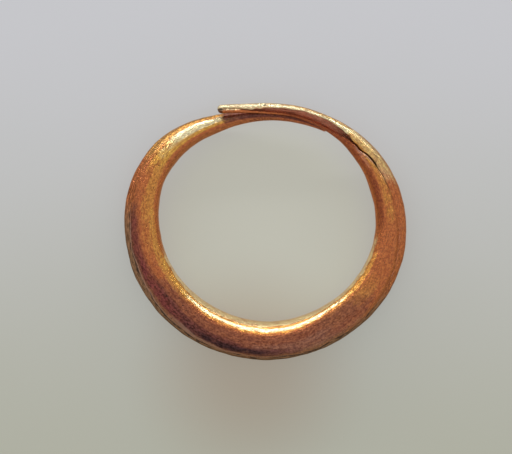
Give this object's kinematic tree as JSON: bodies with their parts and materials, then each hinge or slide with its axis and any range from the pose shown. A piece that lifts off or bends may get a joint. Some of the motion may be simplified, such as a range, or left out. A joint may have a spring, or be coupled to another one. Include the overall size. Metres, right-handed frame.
{
  "type": "lapped-end gold hoop earring",
  "caption": "Plain hoop earring of one gold sheet rolled into a tube that swells at the bottom and tapers to two thin lapped ends, which spring apart for the ear.",
  "frame": {"origin": "the middle of the hoop's footprint, at the surface that it lies on", "axes": "+Z out of the hoop's front face, along its axis; +Y from the swelling at the bottom to the lapped ends; +X to the side of the gutter end's root"},
  "size_m": [0.025, 0.0228, 0.0036],
  "materials": {
    "worn_gold": "satin",
    "bright_gold": "satin",
    "filling": "matte"
  },
  "bodies": {
    "crescent": {"crescent_sheet": "worn_gold", "core_filling": "filling"},
    "gutter": {"gutter_end": "bright_gold"},
    "tongue": {"tongue_end": "worn_gold"}
  },
  "joints": [
    {"name": "gutter_spring_open", "type": "hinge", "parent": "crescent", "child": "gutter", "pos_m": [0.00785, 0.0079, 0.00282], "axis": [0.6853, 0.7282, 0], "range_deg": [0, 25]},
    {"name": "tongue_press_in", "type": "hinge", "parent": "crescent", "child": "tongue", "pos_m": [-0.00699, 0.00708, 0.00167], "axis": [0, 0, -1], "range_deg": [0, 12]}
  ]
}
